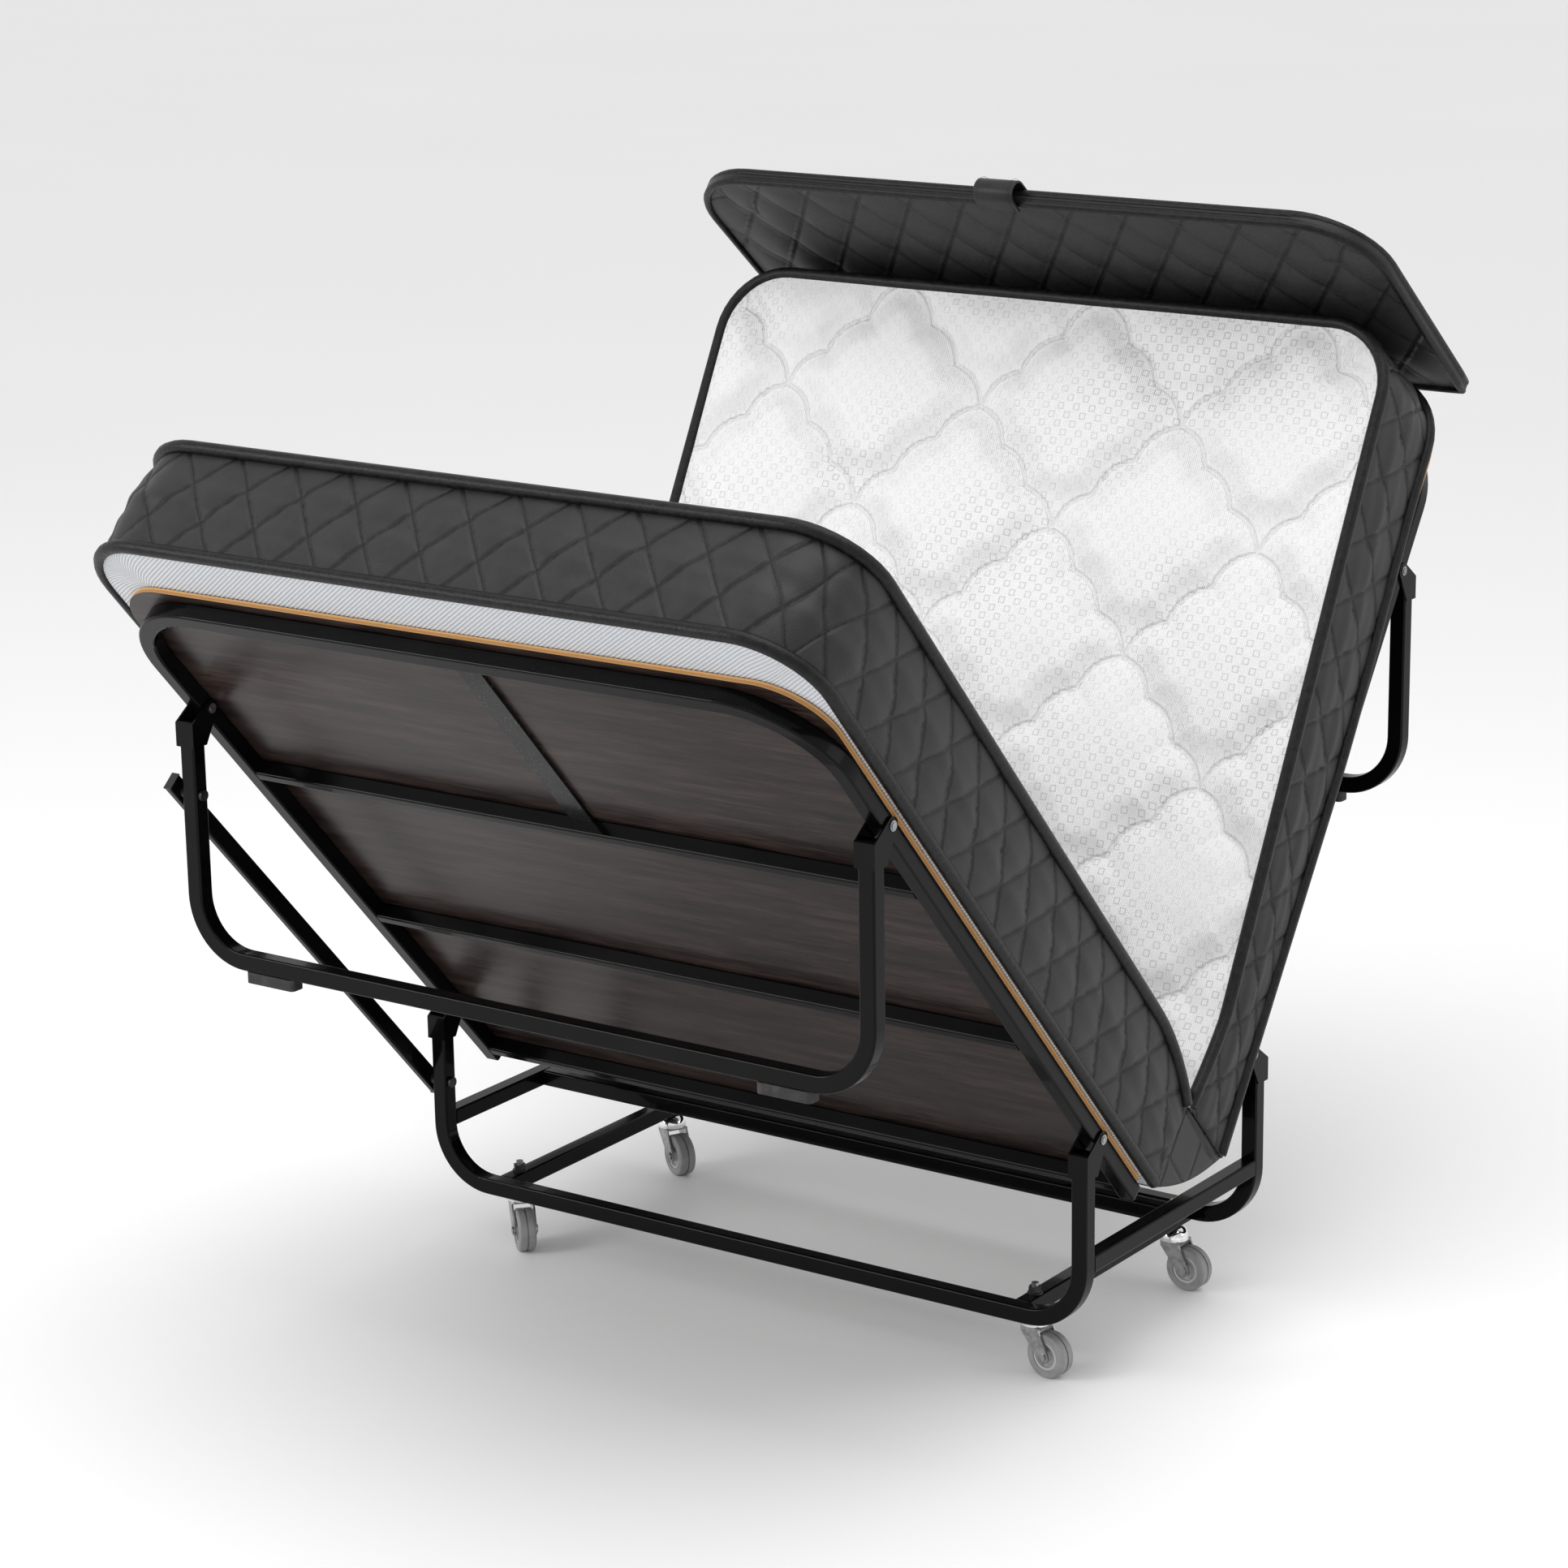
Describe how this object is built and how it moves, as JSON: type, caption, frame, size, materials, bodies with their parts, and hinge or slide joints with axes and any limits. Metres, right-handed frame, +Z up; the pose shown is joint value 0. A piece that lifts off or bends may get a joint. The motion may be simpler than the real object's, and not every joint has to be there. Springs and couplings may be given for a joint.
{
  "type": "rollaway bed",
  "caption": "Folding guest bed on castors: tubular base, two hinged plywood decks with coupled swing-down legs, a quilted mattress and an end flap with a strap.",
  "frame": {"origin": "on the floor under the middle of the base, midway between the four castors", "axes": "+X along the bed towards the half with the end flap, +Y across it towards the linkage side, +Z up"},
  "size_m": [1.3404, 0.9188, 1.2068],
  "materials": {
    "frame_black": "gloss black enamel",
    "rivet_zinc": "bright zinc plate",
    "bolt_black": "black oxide",
    "raceway_chrome": "polished",
    "fork_zinc": "bright zinc plate",
    "wheel_grey": "soft grey tread",
    "hub_grey": "moulded",
    "cap_black": "moulded",
    "foot_black": "moulded",
    "veneer_ply": "dark wenge film on plywood",
    "mattress_cover": "quilted white knit top, black leathercloth border",
    "core_foam": "white knit over foam",
    "flap_leathercloth": "quilted"
  },
  "bodies": {
    "base": {"base_frame_near": "frame_black", "base_frame_far": "frame_black", "upper_side_tubes": "frame_black", "lower_side_tubes": "frame_black", "centre_cross_tube": "frame_black", "base_brackets": "frame_black", "base_pivot_rivets": "rivet_zinc", "base_link_bolts": "bolt_black", "castor_stems": "rivet_zinc", "castor_raceways": "raceway_chrome", "castor_nuts": "bolt_black"},
    "deck_near": {"deck_near_frame": "frame_black", "deck_near_cross_bars": "frame_black", "deck_near_centre_strut": "frame_black", "deck_near_rail_caps": "cap_black", "deck_near_plywood": "veneer_ply", "mattress_near": "mattress_cover"},
    "core_near": {"mattress_core_near": "core_foam"},
    "leg_near": {"leg_near_frame": "frame_black", "leg_near_brackets": "frame_black", "leg_near_pivot_rivets": "rivet_zinc", "leg_near_foot_pads": "foot_black", "leg_near_link_bolt": "bolt_black"},
    "link_near": {"link_bar_near": "frame_black", "link_caps_near": "cap_black"},
    "deck_far": {"deck_far_frame": "frame_black", "deck_far_cross_bars": "frame_black", "deck_far_centre_strut": "frame_black", "deck_far_rail_caps": "cap_black", "deck_far_plywood": "veneer_ply", "mattress_far": "mattress_cover", "flap_hem": "flap_leathercloth"},
    "core_far": {"mattress_core_far": "core_foam"},
    "leg_far": {"leg_far_frame": "frame_black", "leg_far_brackets": "frame_black", "leg_far_pivot_rivets": "rivet_zinc", "leg_far_foot_pads": "foot_black", "leg_far_link_bolt": "bolt_black"},
    "link_far": {"link_bar_far": "frame_black", "link_caps_far": "cap_black"},
    "flap": {"end_flap": "flap_leathercloth", "flap_strap": "flap_leathercloth"},
    "swivel_near_right": {"castor_near_right_fork": "fork_zinc", "castor_near_right_axle": "rivet_zinc"},
    "wheel_near_right": {"castor_near_right_hub": "hub_grey", "castor_near_right_tyre": "wheel_grey"},
    "swivel_far_right": {"castor_far_right_fork": "fork_zinc", "castor_far_right_axle": "rivet_zinc"},
    "wheel_far_right": {"castor_far_right_hub": "hub_grey", "castor_far_right_tyre": "wheel_grey"},
    "swivel_near_left": {"castor_near_left_fork": "fork_zinc", "castor_near_left_axle": "rivet_zinc"},
    "wheel_near_left": {"castor_near_left_hub": "hub_grey", "castor_near_left_tyre": "wheel_grey"},
    "swivel_far_left": {"castor_far_left_fork": "fork_zinc", "castor_far_left_axle": "rivet_zinc"},
    "wheel_far_left": {"castor_far_left_hub": "hub_grey", "castor_far_left_tyre": "wheel_grey"}
  },
  "joints": [
    {"name": "near_fold", "type": "hinge", "parent": "base", "child": "deck_near", "pos_m": [-0.1625, 0, 0.286], "axis": [0, 1, 0], "range_deg": [-48, 42]},
    {"name": "near_leg_pivot", "type": "hinge", "parent": "deck_near", "child": "leg_near", "pos_m": [-0.55394, 0, 0.72074], "axis": [0, 1, 0], "range_deg": [-42, 48]},
    {"name": "near_link_pivot", "type": "hinge", "parent": "base", "child": "link_near", "pos_m": [-0.182, 0.451, 0.195], "axis": [0, 1, 0], "range_deg": [-48, 42]},
    {"name": "near_core_slide", "type": "slide", "parent": "deck_near", "child": "core_near", "axis": [0.6691, 0, -0.7431], "range_m": [-0.1229, 0.1404]},
    {"name": "far_fold", "type": "hinge", "parent": "base", "child": "deck_far", "pos_m": [0.1625, 0, 0.286], "axis": [0, -1, 0], "range_deg": [-55.5, 34.5]},
    {"name": "far_leg_pivot", "type": "hinge", "parent": "deck_far", "child": "leg_far", "pos_m": [0.49385, 0, 0.76811], "axis": [0, -1, 0], "range_deg": [-34.5, 55.5]},
    {"name": "far_link_pivot", "type": "hinge", "parent": "base", "child": "link_far", "pos_m": [0.182, 0.451, 0.195], "axis": [0, -1, 0], "range_deg": [-55.5, 34.5]},
    {"name": "far_core_slide", "type": "slide", "parent": "deck_far", "child": "core_far", "axis": [-0.5664, 0, -0.8241], "range_m": [-0.1011, 0.1623]},
    {"name": "end_flap_hinge", "type": "hinge", "parent": "deck_far", "child": "flap", "pos_m": [0.60821, 0, 0.9504], "axis": [0, 1, 0], "range_deg": [0, 120]},
    {"name": "near_right_swivel", "type": "hinge", "parent": "base", "child": "swivel_near_right", "pos_m": [-0.148, -0.35, 0.055], "axis": [0, 0, 1], "continuous": true},
    {"name": "near_right_wheel", "type": "hinge", "parent": "swivel_near_right", "child": "wheel_near_right", "pos_m": [-0.15092, -0.3708, 0.025], "axis": [0.9903, -0.1392, 0], "continuous": true},
    {"name": "far_right_swivel", "type": "hinge", "parent": "base", "child": "swivel_far_right", "pos_m": [0.148, -0.35, 0.055], "axis": [0, 0, 1], "continuous": true},
    {"name": "far_right_wheel", "type": "hinge", "parent": "swivel_far_right", "child": "wheel_far_right", "pos_m": [0.14727, -0.37099, 0.025], "axis": [0.9994, -0.0349, 0], "continuous": true},
    {"name": "near_left_swivel", "type": "hinge", "parent": "base", "child": "swivel_near_left", "pos_m": [-0.148, 0.35, 0.055], "axis": [0, 0, 1], "continuous": true},
    {"name": "near_left_wheel", "type": "hinge", "parent": "swivel_near_left", "child": "wheel_near_left", "pos_m": [-0.16205, 0.33439, 0.025], "axis": [0.7431, -0.6691, 0], "continuous": true},
    {"name": "far_left_swivel", "type": "hinge", "parent": "base", "child": "swivel_far_left", "pos_m": [0.148, 0.35, 0.055], "axis": [0, 0, 1], "continuous": true},
    {"name": "far_left_wheel", "type": "hinge", "parent": "swivel_far_left", "child": "wheel_far_left", "pos_m": [0.13814, 0.33146, 0.025], "axis": [0.8829, -0.4695, 0], "continuous": true}
  ],
  "couplings": [
    {"joint": "near_leg_pivot", "follows": "near_fold", "ratio": -1},
    {"joint": "near_link_pivot", "follows": "near_fold", "ratio": 1},
    {"joint": "near_core_slide", "follows": "near_fold", "m_per_rad": -0.167},
    {"joint": "far_leg_pivot", "follows": "far_fold", "ratio": -1},
    {"joint": "far_link_pivot", "follows": "far_fold", "ratio": 1},
    {"joint": "far_core_slide", "follows": "far_fold", "m_per_rad": -0.167}
  ]
}
